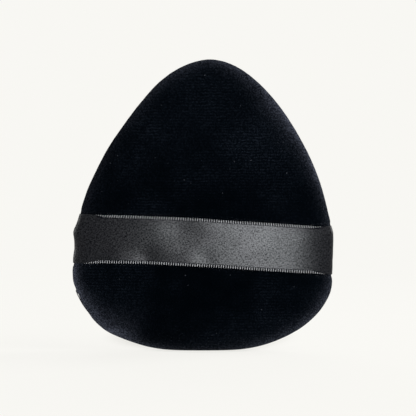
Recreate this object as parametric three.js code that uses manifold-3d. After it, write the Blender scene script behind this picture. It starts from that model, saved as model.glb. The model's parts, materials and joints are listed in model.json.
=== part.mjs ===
// A velour powder puff with a satin finger ribbon across its back.
//
// Millimetres, +Z up. The puff stands on its broad end. Its back, with the ribbon, faces -Y, and
// +X is to the right when the back is looked at. The origin is on the ground, under the middle of
// the puff, in the plane of the seam that joins the two covers.

import * as THREE from 'three';
import Module from 'manifold-3d';
import { mergeVertices } from 'three/addons/utils/BufferGeometryUtils.js';

const manifold = await Module();
manifold.setup();

// The outline, an egg with a broad foot. Above and below its widest level it is a rounded corner
// curve whose two exponents say how full its sides and its end are.
const halfWidth = 39.5;
const riseAboveWidest = 59.4;
const dropBelowWidest = 28.1;
const apexLean = 2.1;
const upperSideFullness = 1.82;
const apexFullness = 1.52;
const lowerSideFullness = 2.28;
const footFullness = 2.34;

// The slice that standing on the ground flattens off the foot.
const footCut = 0.5;

// How far the back swells from the plane of the seam, and how flat its middle stays.
const backSwell = 7.2;
const swellFlatness = 4;

// The velour, and how it is folded in along the seam.
const clothThickness = 1.2;
const foldRadius = 1.0;
const seamAllowance = 4.0;
const seamGap = 0.3;

// The ribbon, its height at the middle of the puff and how it drops to the right.
const ribbonWidth = 15;
const ribbonThickness = 0.35;
const ribbonHeight = 32.4;
const ribbonSlope = THREE.MathUtils.degToRad(3);
const ribbonTuck = 3.2;

// How far the tight ribbon pulls the sides of the puff in, and how that fades out beside it.
const ribbonPull = 1.1;
const pullMargin = 1.0;
const pullFade = 6.0;

// Sewing thread, the machine seam, the tacks at the ribbon's ends and the hand sewn closing.
const threadDiameter = 0.4;
const stitchLength = 3.0;
const stitchHump = 0.15;
const seamStitchInset = 1.0;
const tackInset = 2.2;
const tackDepth = 1.0;
const tackPitch = 1.5;
const closingTopHeight = 18;
const closingLength = 25;
const closingSway = 0.1;

// Clearances: between pieces that lie on each other, and round the closing thread in its groove.
const clearance = 0.3;
const threadClearance = 0.2;
const overrun = 2;

// How finely the surfaces are divided.
const edgeSteps = 52;
const coverSteps = 11;
const liningSteps = 6;
const foldSteps = 3;
const foamSteps = 9;
const ribbonSteps = 18;
const ribbonStrips = 6;
const threadSides = 4;
const crowdingShare = 0.3;

// Sizes that follow from those above.
const widestHeight = dropBelowWidest - footCut;
const seamHalf = seamGap / 2;
const swellStart = seamHalf + foldRadius;
const allowanceTop = seamHalf + clothThickness;
const frontSwell = backSwell + clearance + ribbonThickness;
const grooveInset = foldRadius;
const allowanceInset = grooveInset + seamAllowance;
const foamInset = clothThickness + clearance;
const threadRadius = threadDiameter / 2;
const threadLevel = allowanceTop + clearance + threadRadius;
const slotHalf = threadLevel + stitchHump + threadRadius + clearance;

const BACK = -1;
const FRONT = 1;
const LEFT = -1;
const RIGHT = 1;

// A spot across and up in the plane of the seam, from a place along the ribbon and across it.
function ribbonSpot(along, across) {
  const x = along * Math.cos(ribbonSlope) + across * Math.sin(ribbonSlope);
  const z = ribbonHeight - along * Math.sin(ribbonSlope) + across * Math.cos(ribbonSlope);
  return new THREE.Vector2(x, z);
}

// How much of its pull the ribbon has on the puff's side at a spot, from 1 under it to 0.
function pullAt(x, z) {
  const across = (z - ribbonHeight) * Math.cos(ribbonSlope) + x * Math.sin(ribbonSlope);
  const past = Math.abs(across) - ribbonWidth / 2 - pullMargin;
  return 1 - THREE.MathUtils.smoothstep(past, 0, pullFade);
}

// The fullness of the outline's sides and end, and its height, above or below the widest level.
function outlineHalf(isUpper) {
  return isUpper
    ? { side: upperSideFullness, end: apexFullness, height: riseAboveWidest, lean: apexLean }
    : { side: lowerSideFullness, end: footFullness, height: dropBelowWidest, lean: 0 };
}

// A spot on the outline shrunk towards the middle of the widest level to a share of its size.
function outlineSpot(angle, share) {
  const half = outlineHalf(Math.sin(angle) >= 0);
  const across = Math.sign(Math.cos(angle)) * Math.abs(Math.cos(angle)) ** (2 / half.side);
  const up = Math.sign(Math.sin(angle)) * Math.abs(Math.sin(angle)) ** (2 / half.end);
  const z = widestHeight + share * up * half.height;
  const x = share * (across * halfWidth + Math.abs(up) * half.lean);
  return new THREE.Vector2(x - share * across * ribbonPull * pullAt(x, z), z);
}

// The direction square to the outline's edge, pointing out.
function edgeNormal(angle) {
  const nudge = 0.01;
  const ahead = outlineSpot(angle + nudge, 1);
  const along = ahead.sub(outlineSpot(angle - nudge, 1)).normalize();
  return new THREE.Vector2(along.y, -along.x);
}

// The share of the outline on whose edge a spot lies: 0 in the middle, 1 at the rim.
function outlineShare(x, z) {
  const half = outlineHalf(z >= widestHeight);
  const up = (z - widestHeight) / half.height;
  const across = (x - Math.abs(up) * half.lean) / (halfWidth - ribbonPull * pullAt(x, z));
  let inner = 0;
  let outer = Math.abs(up) + Math.abs(across);
  for (let halving = 0; halving < 50; halving += 1) {
    const share = (inner + outer) / 2;
    const sum = Math.abs(across / share) ** half.side + Math.abs(up / share) ** half.end;
    if (sum > 1) inner = share;
    else outer = share;
  }
  return outer;
}

// The outline's shares at which the swell is drawn, closer together towards the rim.
function swellShares(steps, lastTurn = Math.PI / 2) {
  const turns = Array.from({ length: steps }, (_, step) => (lastTurn * (step + 1)) / steps);
  return turns.map((turn) => Math.sin(turn) ** (2 / swellFlatness));
}

// How far a face swells out at a share of its outline, between its height at the rim and its top.
function swellAt(share, rim, top) {
  return rim + (top - rim) * Math.sqrt(Math.max(0, 1 - share ** swellFlatness));
}

// The angles of the outline's corners, closer together where the ribbon's ends cross the rim.
const edgeAngles = Array.from({ length: edgeSteps }, (_, step) => {
  const angle = (2 * Math.PI * step) / edgeSteps;
  return angle - (crowdingShare * Math.sin(2 * angle)) / 2;
});

// One loop round the puff: a share of the outline, drawn in by an inset square to its edge.
function loop(share, inset, y) {
  return edgeAngles.map((angle) => {
    const spot = outlineSpot(angle, share).addScaledVector(edgeNormal(angle), -share * inset);
    return new THREE.Vector3(spot.x, y, spot.y);
  });
}

// Turns a closed surface's faces outwards, if they point in.
function facingOut(vertices, faces) {
  let volume = 0;
  for (const [a, b, c] of faces) {
    volume += vertices[a].dot(vertices[b].clone().cross(vertices[c]));
  }
  const turned = volume < 0 ? faces.map(([a, b, c]) => [a, c, b]) : faces;
  const geometry = new THREE.BufferGeometry().setFromPoints(vertices);
  geometry.setIndex(turned.flat());
  return geometry;
}

// The faces between neighbouring rings of points, ring after ring, each ring closed on itself.
function bandFaces(rings) {
  const size = rings[0].length;
  const faces = [];
  for (let ring = 0; ring + 1 < rings.length; ring += 1) {
    for (let spot = 0; spot < size; spot += 1) {
      const here = ring * size + spot;
      const next = ring * size + ((spot + 1) % size);
      faces.push([here, next, next + size], [here, next + size, here + size]);
    }
  }
  return faces;
}

// A closed surface from one pole through a run of rings to another pole.
function shell(firstPole, rings, lastPole) {
  const size = rings[0].length;
  const last = (rings.length - 1) * size;
  const first = rings.length * size;
  const faces = bandFaces(rings);
  for (let spot = 0; spot < size; spot += 1) {
    const next = (spot + 1) % size;
    faces.push([first, next, spot], [first + 1, last + spot, last + next]);
  }
  return facingOut([...rings.flat(), firstPole, lastPole], faces);
}

// A piece of thread along a run of points that stays near the plane of the seam.
function thread(points) {
  const rings = points.map((point, step) => {
    const ahead = points[Math.min(step + 1, points.length - 1)];
    const along = ahead.clone().sub(points[Math.max(step - 1, 0)]).normalize();
    const side = along.clone().cross(new THREE.Vector3(0, 1, 0)).normalize();
    const up = side.clone().cross(along);
    return Array.from({ length: threadSides }, (_, corner) => {
      const turn = (2 * Math.PI * (corner + 0.5)) / threadSides;
      const out = side.clone().multiplyScalar(threadRadius * Math.cos(turn));
      return point.clone().add(out).addScaledVector(up, threadRadius * Math.sin(turn));
    });
  });
  return shell(points[0], rings, points[points.length - 1]);
}

function toSolid(geometry) {
  const bare = geometry.clone();
  bare.deleteAttribute('normal');
  bare.deleteAttribute('uv');
  const merged = mergeVertices(bare);
  const mesh = new manifold.Mesh({
    numProp: 3,
    vertProperties: new Float32Array(merged.attributes.position.array),
    triVerts: new Uint32Array(merged.index.array),
  });
  return new manifold.Manifold(mesh);
}

function fromSolid(solid) {
  const mesh = solid.getMesh();
  const geometry = new THREE.BufferGeometry();
  geometry.setAttribute('position', new THREE.BufferAttribute(mesh.vertProperties, 3));
  geometry.setIndex(new THREE.BufferAttribute(mesh.triVerts, 1));
  return geometry;
}

// What lies under the ground, which flattens the foot of both covers.
function ground() {
  const depth = footCut + overrun;
  const block = new THREE.BoxGeometry(2 * halfWidth, backSwell + frontSwell, depth);
  block.translate(0, 0, -depth / 2);
  return block;
}

// Where the rim crosses a line along the ribbon, on one side of the puff.
function ribbonReach(side, across) {
  let inner = 0;
  let outer = 2 * halfWidth;
  for (let halving = 0; halving < 50; halving += 1) {
    const reach = (inner + outer) / 2;
    const spot = ribbonSpot(side * reach, across);
    if (outlineShare(spot.x, spot.y) < 1) inner = reach;
    else outer = reach;
  }
  return outer;
}

// The direction in which the back faces at a spot on it.
function backNormal(x, z, y) {
  const nudge = clearance / 10;
  const flat = (dx, dz) => outlineShare(x + dx, z + dz) ** swellFlatness;
  const rise = backSwell - swellStart;
  return new THREE.Vector3(
    (flat(nudge, 0) - flat(-nudge, 0)) / (2 * nudge),
    (2 * (y + swellStart)) / rise ** 2,
    (flat(0, nudge) - flat(0, -nudge)) / (2 * nudge),
  ).normalize();
}

// A point on the back, or above it by a lift that is square to the surface.
function liftedOffBack(spot, lift) {
  const y = -swellAt(outlineShare(spot.x, spot.y), swellStart, backSwell);
  const normal = backNormal(spot.x, spot.y, y);
  return new THREE.Vector3(spot.x, y, spot.y).addScaledVector(normal, lift);
}

// The places across the ribbon at which it is drawn, out to half its width or a little more.
function ribbonLines(halfAcross) {
  return Array.from(
    { length: ribbonStrips + 1 },
    (_, strip) => halfAcross * ((2 * strip) / ribbonStrips - 1),
  );
}

// The spots where the ribbon's lines cross the rim, moved out from it or in along the ribbon.
function ribbonEdge(side, halfAcross, outward, inward) {
  return ribbonLines(halfAcross).map((across) => {
    const spot = ribbonSpot(side * (ribbonReach(side, across) - inward), across);
    if (outward === 0) return spot;
    const normal = backNormal(spot.x, spot.y, -swellStart);
    return spot.add(new THREE.Vector2(normal.x, normal.z).multiplyScalar(outward));
  });
}

// A plate in the plane of the seam, as wide as the ribbon, from outside the rim to inside it.
function seamPlate(side, halfAcross, outward, inward, thickness) {
  const outer = ribbonEdge(side, halfAcross, outward, 0);
  const inner = ribbonEdge(side, halfAcross, 0, inward).reverse();
  const plate = new THREE.ExtrudeGeometry(new THREE.Shape([...outer, ...inner]), {
    depth: thickness,
    bevelEnabled: false,
  });
  plate.rotateX(Math.PI / 2);
  plate.translate(0, thickness / 2, 0);
  return plate;
}

// The ribbon's end, which runs out of the seam as far as the strap's outer face.
function ribbonEndGeometry(side) {
  const outward = clearance + ribbonThickness;
  const inward = grooveInset + ribbonTuck;
  return seamPlate(side, ribbonWidth / 2, outward, inward, ribbonThickness);
}

// The room that the covers leave for the ribbon's end.
function ribbonRecess(side) {
  const room = ribbonThickness + 2 * clearance;
  const inward = grooveInset + ribbonTuck + clearance;
  return seamPlate(side, ribbonWidth / 2 + clearance, overrun, inward, room);
}

// One cover: its face, the fold round its rim, its seam allowance and its lining side.
function coverGeometry(face, swell) {
  const lining = swell - clothThickness;
  const outside = swellShares(coverSteps).map((share) =>
    loop(share, 0, face * swellAt(share, swellStart, swell)));
  const fold = Array.from({ length: foldSteps }, (_, step) => {
    const turn = (Math.PI / 2) * ((step + 1) / foldSteps);
    const inset = foldRadius * (1 - Math.cos(turn));
    return loop(1, inset, face * (swellStart - foldRadius * Math.sin(turn)));
  });
  const allowance = [
    loop(1, allowanceInset, face * seamHalf),
    loop(1, allowanceInset, face * allowanceTop),
  ];
  const inside = swellShares(liningSteps).reverse().map((share) =>
    loop(share, clothThickness, face * swellAt(share, allowanceTop, lining)));
  const cover = shell(
    new THREE.Vector3(0, face * swell, widestHeight),
    [...outside, ...fold, ...allowance, ...inside],
    new THREE.Vector3(0, face * lining, widestHeight),
  );
  const cut = toSolid(cover)
    .subtract(toSolid(ground()))
    .subtract(toSolid(ribbonRecess(LEFT)))
    .subtract(toSolid(ribbonRecess(RIGHT)));
  return fromSolid(cut);
}

// The foam fills the covers, with a slot round its edge for the seam allowances and threads.
function foamGeometry() {
  const lobe = (face, swell) => {
    const top = swell - foamInset;
    const lastTurn = Math.acos((slotHalf - allowanceTop) / (top - allowanceTop));
    return swellShares(foamSteps, lastTurn).map((share) =>
      loop(share, foamInset, face * swellAt(share, allowanceTop, top)));
  };
  const slotFloor = allowanceInset + clearance;
  const slot = [loop(1, slotFloor, BACK * slotHalf), loop(1, slotFloor, FRONT * slotHalf)];
  return shell(
    new THREE.Vector3(0, BACK * (backSwell - foamInset), widestHeight),
    [...lobe(BACK, backSwell), ...slot, ...lobe(FRONT, frontSwell).reverse()],
    new THREE.Vector3(0, FRONT * (frontSwell - foamInset), widestHeight),
  );
}

// One station of the strap: its lines' points on the side of the puff, then on its outer side.
function strapStation(turn) {
  const lines = ribbonLines(ribbonWidth / 2);
  const share = Math.sin(Math.abs(turn)) ** (2 / swellFlatness);
  const side = Math.sign(turn);
  const spots = lines.map((across) => {
    const reach = ribbonReach(side || RIGHT, across);
    return ribbonSpot(side * share * reach, across);
  });
  const under = spots.map((spot) => liftedOffBack(spot, clearance));
  const over = spots.map((spot) => liftedOffBack(spot, clearance + ribbonThickness));
  return [...under, ...over.reverse()];
}

// The ribbon's free span, from seam to seam. It lies on the back and goes straight down the rim.
function strapGeometry() {
  const turns = Array.from(
    { length: 2 * ribbonSteps + 1 },
    (_, step) => (Math.PI / 2) * (step / ribbonSteps - 1),
  );
  const stations = turns.map(strapStation);
  const atSeam = (station) => {
    const y = -(ribbonThickness / 2 + clearance);
    return station.map((point) => new THREE.Vector3(point.x, y, point.z));
  };
  stations.unshift(atSeam(stations[0]));
  stations.push(atSeam(stations[stations.length - 1]));
  const size = stations[0].length;
  const last = (stations.length - 1) * size;
  const faces = bandFaces(stations);
  for (let strip = 0; strip < ribbonStrips; strip += 1) {
    const [under, over] = [strip, size - 1 - strip];
    faces.push([under, over, over - 1], [under, over - 1, under + 1]);
    faces.push([last + under, last + over - 1, last + over]);
    faces.push([last + under, last + under + 1, last + over - 1]);
  }
  return facingOut(stations.flat(), faces);
}

// The seam's line at an inset from the rim, once round from the upper end of the closing.
function seamLine(inset) {
  const isPast = (angle) => outlineSpot(angle, 1).y < closingTopHeight;
  const start = edgeAngles.findIndex((angle) => angle > Math.PI && isPast(angle));
  const corners = loop(1, inset, 0);
  const before = corners[start - 1];
  const share = (before.z - closingTopHeight) / (before.z - corners[start].z);
  const first = before.clone().lerp(corners[start], share);
  const line = [first, ...corners.slice(start), ...corners.slice(0, start), first.clone()];
  const lengths = [0];
  for (let corner = 1; corner < line.length; corner += 1) {
    lengths.push(lengths[corner - 1] + line[corner].distanceTo(line[corner - 1]));
  }
  return { line, lengths, total: lengths[lengths.length - 1] };
}

// The point at a distance along a seam line.
function pointAt({ line, lengths }, distance) {
  const next = Math.max(1, lengths.findIndex((length) => length >= distance));
  const share = (distance - lengths[next - 1]) / (lengths[next] - lengths[next - 1]);
  return line[next - 1].clone().lerp(line[next], share);
}

// One thread of the machine seam, which stops short of the closing at both ends.
function seamThreadGeometry(face) {
  const seam = seamLine(grooveInset + seamStitchInset);
  const stitches = Math.floor((seam.total - closingLength) / stitchLength);
  const points = [];
  for (let half = 0; half <= 2 * stitches; half += 1) {
    const point = pointAt(seam, closingLength + (half * stitchLength) / 2);
    point.y = face * (threadLevel + (half % 2) * stitchHump);
    points.push(point);
  }
  return thread(points);
}

// The zigzag that holds one end of the ribbon on the back cover's seam allowance.
function tackThreadGeometry(side) {
  const corners = Math.floor(ribbonWidth / tackPitch);
  const points = [];
  for (let corner = 0; corner <= corners; corner += 1) {
    const across = (corner - corners / 2) * tackPitch;
    const inset = grooveInset + tackInset + (corner % 2) * tackDepth;
    const spot = ribbonSpot(side * (ribbonReach(side, across) - inset), across);
    points.push(new THREE.Vector3(spot.x, BACK * threadLevel, spot.y));
  }
  return thread(points);
}

// How far inside the rim a thread rests on the two folds, swayed to one side of the seam.
function grooveSeat(sway) {
  const reach = foldRadius + threadClearance + threadRadius;
  return foldRadius - Math.sqrt(reach ** 2 - (swellStart - sway) ** 2);
}

// The hand stitches that close the turning gap, swaying from fold to fold along the groove.
function closingThreadGeometry() {
  const seam = seamLine(grooveSeat(closingSway));
  const halves = Math.floor((2 * closingLength) / stitchLength);
  const points = [];
  for (let half = 0; half <= halves; half += 1) {
    const point = pointAt(seam, (half * stitchLength) / 2);
    point.y = closingSway * (half % 2 === 0 ? BACK : FRONT);
    points.push(point);
  }
  return thread(points);
}

const velour = new THREE.MeshStandardMaterial({ color: 0x07090e, roughness: 0.95, metalness: 0 });
const satin = new THREE.MeshStandardMaterial({ color: 0x3a3a3e, roughness: 0.35, metalness: 0 });
const foam = new THREE.MeshStandardMaterial({ color: 0xd8d3c6, roughness: 0.9, metalness: 0 });
const cotton = new THREE.MeshStandardMaterial({ color: 0x121216, roughness: 0.7, metalness: 0 });

const puff = new THREE.Group();

function addPiece(name, geometry, material) {
  const piece = new THREE.Mesh(geometry, material);
  piece.name = name;
  puff.add(piece);
}

addPiece('back_cover', coverGeometry(BACK, backSwell), velour);
addPiece('front_cover', coverGeometry(FRONT, frontSwell), velour);
addPiece('foam_core', foamGeometry(), foam);
addPiece('ribbon_strap', strapGeometry(), satin);
addPiece('ribbon_end_left', ribbonEndGeometry(LEFT), satin);
addPiece('ribbon_end_right', ribbonEndGeometry(RIGHT), satin);
addPiece('needle_thread', seamThreadGeometry(BACK), cotton);
addPiece('bobbin_thread', seamThreadGeometry(FRONT), cotton);
addPiece('tack_thread_left', tackThreadGeometry(LEFT), cotton);
addPiece('tack_thread_right', tackThreadGeometry(RIGHT), cotton);
addPiece('closing_thread', closingThreadGeometry(), cotton);

export default puff;
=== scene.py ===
"""A velour powder puff with a satin finger ribbon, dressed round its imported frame.

The puff stands on its broad end with the ribbon side towards -Y. All sizes are in metres.
"""

from __future__ import annotations

import json
import logging
import math
from collections.abc import Mapping, Sequence
from dataclasses import dataclass, replace
from enum import Enum

import bmesh
import bpy
import numpy as np
from mathutils import Matrix, Vector, noise

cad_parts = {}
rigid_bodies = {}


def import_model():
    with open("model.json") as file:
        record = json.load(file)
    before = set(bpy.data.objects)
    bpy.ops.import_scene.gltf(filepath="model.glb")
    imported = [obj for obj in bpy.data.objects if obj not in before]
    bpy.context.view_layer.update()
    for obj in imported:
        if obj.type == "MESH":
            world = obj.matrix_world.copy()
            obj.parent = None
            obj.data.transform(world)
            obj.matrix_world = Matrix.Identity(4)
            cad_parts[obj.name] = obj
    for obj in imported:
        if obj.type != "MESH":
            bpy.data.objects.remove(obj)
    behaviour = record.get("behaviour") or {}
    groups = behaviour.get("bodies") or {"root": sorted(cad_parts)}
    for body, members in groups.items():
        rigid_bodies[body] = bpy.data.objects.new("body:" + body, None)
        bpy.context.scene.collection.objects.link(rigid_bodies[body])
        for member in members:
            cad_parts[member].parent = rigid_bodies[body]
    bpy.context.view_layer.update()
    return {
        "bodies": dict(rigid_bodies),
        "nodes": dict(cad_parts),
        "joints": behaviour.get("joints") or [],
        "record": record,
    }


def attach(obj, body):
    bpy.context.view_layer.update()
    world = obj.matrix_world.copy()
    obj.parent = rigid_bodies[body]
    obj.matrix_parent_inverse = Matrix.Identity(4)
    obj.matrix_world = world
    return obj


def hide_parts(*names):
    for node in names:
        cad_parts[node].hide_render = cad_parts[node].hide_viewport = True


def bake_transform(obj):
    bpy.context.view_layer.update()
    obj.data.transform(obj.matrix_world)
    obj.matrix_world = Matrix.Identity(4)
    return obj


LOG = logging.getLogger("puff")
IMAGE_SIDE = 416
HALVINGS = 40
NUDGE = 0.00001
TINY = 1e-9

Array = np.ndarray
Pair = tuple[float, float]
Triple = tuple[float, float, float]
Colour = Triple


class Face(Enum):
    """The two sides of the puff, by the direction in which each swells from the seam."""

    BACK = -1
    FRONT = 1


class End(Enum):
    """The two ends of the ribbon, by the side of the puff on which each is sewn in."""

    LEFT = -1
    RIGHT = 1


def smooth(share: Array) -> Array:
    """Gives the smooth step from 0 to 1 of a share that may run past either."""
    held = np.clip(share, 0.0, 1.0)
    return held * held * (3.0 - 2.0 * held)


def bell(distance: Array, width: float) -> Array:
    """Gives a bell curve that is 1 at no distance and falls off over a width."""
    return np.exp(-((distance / width) ** 2))


def fading(distance: Array, start: float, reach: float) -> Array:
    """Gives a smooth fall from 1 to 0 that starts at a distance and is over after a reach."""
    return 1.0 - smooth((distance - start) / reach)


def walked(points: Array) -> Array:
    """How far along a line of points, one row each, each of them lies."""
    return np.concatenate([[0.0], np.cumsum(np.linalg.norm(np.diff(points, axis=0), axis=1))])


def spread_evenly(points: Array, count: int) -> Array:
    """Gives the places on a line of points that cut it into even lengths.

    Args:
        points: The line's points, one row each.
        count: How many places to give, both ends included.

    Returns:
        The places, as indices into the line with a fraction.
    """
    along = walked(points)
    return np.interp(np.linspace(0.0, along[-1], count), along, np.arange(len(points)))


def lumps(points: Array, per_metre: float, seed: float) -> Array:
    """Gives a noise from about -1 to 1 at points, one row each."""
    shift = Vector((seed, 2.0 * seed, 3.0 * seed))
    return np.array([noise.noise(Vector(point) * per_metre + shift) for point in points])


@dataclass(frozen=True)
class PuffForm:
    """The puff's outline in the plane of the seam, and how far its two sides swell from it.

    Its sides are a little rounder than the solids', as the ribbon's highlight shows. The rows of
    slump are a height and how far to the right the left and the right edge have slumped there.
    Those of ribbon_spread are a place across and how wide the ribbon lies there, as a share.
    """

    half_width: float = 0.0395
    rise: float = 0.0594
    drop: float = 0.0281
    foot_cut: float = 0.0005
    lean: float = 0.0021
    upper_fullness: Pair = (1.82, 1.52)
    lower_fullness: Pair = (2.28, 2.34)
    back_swell: float = 0.0072
    front_swell: float = 0.00785
    flatness: float = 2.1
    seam_half: float = 0.00015
    fold_radius: float = 0.001
    seam_allowance: float = 0.004
    cloth: float = 0.0012
    ribbon_width: float = 0.0137
    ribbon_height: float = 0.03271
    ribbon_slope: float = math.radians(3.32)
    ribbon_bow: float = 0.57
    ribbon_twist: float = -8.6
    ribbon_pull: float = 0.0005
    pull_margin: float = 0.001
    pull_fade: float = 0.006
    closing_top: float = 0.018
    closing_fade: float = 0.002
    closing_side: float = -0.018
    closing_side_fade: float = 0.004
    outline_steps: int = 4000
    profile_steps: int = 2000
    ribbon_spread: Sequence[Pair] = (
        (-0.0375, 1.055),
        (-0.0340, 1.065),
        (-0.0295, 0.998),
        (-0.0150, 0.990),
        (-0.0040, 1.005),
        (0.0080, 0.988),
        (0.0150, 1.0),
        (0.0260, 1.0),
        (0.0330, 0.986),
        (0.0375, 1.050),
    )
    slump: Sequence[tuple[float, float, float]] = (
        (0.0, 0.0, 0.0),
        (0.003, 0.0, -0.0001),
        (0.006, -0.0006, -0.0003),
        (0.009, -0.0002, 0.0),
        (0.012, 0.00045, 0.0002),
        (0.018, 0.0009, 0.0002),
        (0.0205, 0.0005, -0.0002),
        (0.0235, 0.0008, -0.0004),
        (0.027, 0.0008, -0.0005),
        (0.0305, 0.0009, -0.00025),
        (0.033, 0.0005, 0.0001),
        (0.0355, 0.0002, 0.0004),
        (0.038, 0.00005, 0.0001),
        (0.0405, 0.00005, -0.0003),
        (0.043, 0.0003, -0.0002),
        (0.048, 0.00005, 0.0),
        (0.054, 0.0003, 0.0),
        (0.060, 0.00045, 0.0),
        (0.066, 0.00085, -0.0002),
        (0.070, 0.0010, -0.0003),
        (0.075, 0.0009, -0.00045),
        (0.080, 0.0002, -0.00035),
        (0.084, 0.0001, -0.0001),
        (0.087, 0.0, 0.0),
    )

    @property
    def widest(self) -> float:
        """The height of the widest level."""
        return self.drop - self.foot_cut

    @property
    def swell_start(self) -> float:
        """How far from the seam's plane the folded rim ends and the swell starts."""
        return self.seam_half + self.fold_radius

    @property
    def allowance_top(self) -> float:
        """How far from the seam's plane the turned-in seam allowance reaches."""
        return self.seam_half + self.cloth

    @property
    def allowance_inset(self) -> float:
        """How far inside the rim the seam allowance ends."""
        return self.fold_radius + self.seam_allowance

    def top(self, face: Face) -> float:
        """How far one side swells at its middle."""
        return self.back_swell if face is Face.BACK else self.front_swell

    def ribbon_line(self, x: Array) -> Array:
        """The height of the ribbon's middle line, but for its slope."""
        return self.ribbon_height - (self.ribbon_bow + self.ribbon_twist * x) * x * x

    def spread(self, x: Array) -> Array:
        """How wide the ribbon lies, as a share of its width where it is narrowest."""
        places, shares = np.array(self.ribbon_spread).T
        return np.interp(x, places, shares)

    def across_ribbon(self, x: Array, z: Array) -> Array:
        """How far a spot lies above the ribbon's middle line."""
        sine, cosine = math.sin(self.ribbon_slope), math.cos(self.ribbon_slope)
        return (z - self.ribbon_line(x)) * cosine + x * sine

    def past_ribbon(self, x: Array, z: Array) -> Array:
        """How far a spot lies above or below the ribbon's edges, less than zero between them."""
        return np.abs(self.across_ribbon(x, z)) - self.ribbon_width / 2 * self.spread(x)

    def pull(self, x: Array, z: Array) -> Array:
        """How much of its pull the ribbon has on the side of the puff at a spot."""
        return fading(self.past_ribbon(x, z), self.pull_margin, self.pull_fade)

    def slumped(self, side: Array, z: Array) -> Array:
        """How far to the right the soft edge has slumped at heights on its left or right side."""
        heights, left, right = np.array(self.slump).T
        return np.where(side < 0.0, np.interp(z, heights, left), np.interp(z, heights, right))

    def fullness(self, upper: Array) -> tuple[Array, ...]:
        """How full the outline's sides and ends are, above its widest level or below it."""
        return tuple(np.where(upper, *pair) for pair in zip(self.upper_fullness, self.lower_fullness))

    def outline(self, angle: Array, share: Array | float) -> tuple[Array, Array]:
        """Finds spots on the outline, shrunk towards the middle of the widest level.

        Args:
            angle: The directions of the spots, in radians.
            share: How much of the outline's size is left.

        Returns:
            The spots' places across and up.
        """
        sine, cosine = np.sin(angle), np.cos(angle)
        upper = sine >= 0.0
        side, end = self.fullness(upper)
        reach = np.where(upper, self.rise, self.drop)
        across = np.sign(cosine) * np.abs(cosine) ** (2.0 / side)
        up = np.sign(sine) * np.abs(sine) ** (2.0 / end)
        z = self.widest + share * up * reach
        x = share * (across * self.half_width + np.where(upper, up, 0.0) * self.lean)
        drawn = across * self.ribbon_pull * self.pull(x, z)
        return x + share * (self.slumped(across, self.widest + up * reach) - drawn), z

    def edge_normal(self, angle: Array) -> tuple[Array, Array]:
        """Finds the directions that point out square to the outline's edge.

        Args:
            angle: The directions from the middle of the spots on the edge, in radians.

        Returns:
            How far across and how far up each points, in a length of 1.
        """
        nudge = 0.01
        x_ahead, z_ahead = self.outline(angle + nudge, 1.0)
        x_behind, z_behind = self.outline(angle - nudge, 1.0)
        along_x, along_z = x_ahead - x_behind, z_ahead - z_behind
        length = np.hypot(along_x, along_z)
        return along_z / length, -along_x / length

    def share_at(self, x: Array, z: Array) -> Array:
        """Finds the share of the outline on whose edge each spot lies.

        Args:
            x: The spots' places across.
            z: The spots' heights.

        Returns:
            The shares, 0 in the middle and 1 at the rim.
        """
        upper = z >= self.widest
        side, end = self.fullness(upper)
        reach = np.where(upper, self.rise, self.drop)
        lean = np.where(upper, self.lean, 0.0) / reach
        half = self.half_width - self.ribbon_pull * self.pull(x, z)
        least, spare = 0.001, 0.1
        inner = np.full_like(reach, least)
        outer = np.abs(z - self.widest) / reach + np.abs(x) / half + spare
        for _ in range(HALVINGS):
            middle = (inner + outer) / 2
            up = (z - self.widest) / middle
            across = x / middle - self.slumped(x, self.widest + up) - lean * up
            beyond = np.abs(across / half) ** side + np.abs(up / reach) ** end > 1.0
            inner, outer = np.where(beyond, middle, inner), np.where(beyond, outer, middle)
        return outer

    def inward(self, x: Array, z: Array) -> Array:
        """Finds how far inside the outline's edge spots near it lie.

        Args:
            x: The spots' places across.
            z: The spots' heights.

        Returns:
            The distances, less than zero outside.
        """
        slope_x = self.share_at(x + NUDGE, z) - self.share_at(x - NUDGE, z)
        slope_z = self.share_at(x, z + NUDGE) - self.share_at(x, z - NUDGE)
        slope = np.hypot(slope_x, slope_z) / (2 * NUDGE)
        return (1.0 - self.share_at(x, z)) / np.maximum(slope, 1.0)

    def swell(self, share: Array, rim: float, top: float) -> Array:
        """How far a side swells at each share, from its height at the rim to its top."""
        return rim + (top - rim) * np.sqrt(np.clip(1.0 - share**self.flatness, 0.0, 1.0))

    def ribbon_spot(self, along: Array, across: Array) -> tuple[Array, Array]:
        """The place across and up of spots given along and across the ribbon.

        Args:
            along: How far along the ribbon from its middle each spot is.
            across: How far above its middle line.

        Returns:
            The places. The cloth bows a little, and it spreads towards both ends, where its edge
            loops sink into it.
        """
        across = across * self.spread(along)
        sine, cosine = math.sin(self.ribbon_slope), math.cos(self.ribbon_slope)
        x = along * cosine + across * sine
        return x, self.ribbon_line(x) - along * sine + across * cosine

    def ribbon_reach(self, end: End, across: Array) -> Array:
        """Finds how far along the ribbon the rim is.

        Args:
            end: The end of the ribbon.
            across: How far above its middle line each of its lines runs.

        Returns:
            The distance from the ribbon's middle on each line.
        """
        inner, outer = np.zeros_like(across), np.full_like(across, 2 * self.half_width)
        for _ in range(HALVINGS):
            reach = (inner + outer) / 2
            inside = self.share_at(*self.ribbon_spot(end.value * reach, across)) < 1.0
            inner, outer = np.where(inside, reach, inner), np.where(inside, outer, reach)
        return outer

    def back_normal(self, x: Array, y: Array, z: Array) -> Array:
        """Finds the directions in which the back faces.

        Args:
            x: The places across of spots on it.
            y: Their places from the front to the back.
            z: Their heights.

        Returns:
            The directions, one row each.
        """

        def flat(x_spot: Array, z_spot: Array) -> Array:
            """How much of the back's rise is lost at a spot."""
            return self.share_at(x_spot, z_spot) ** self.flatness

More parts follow.
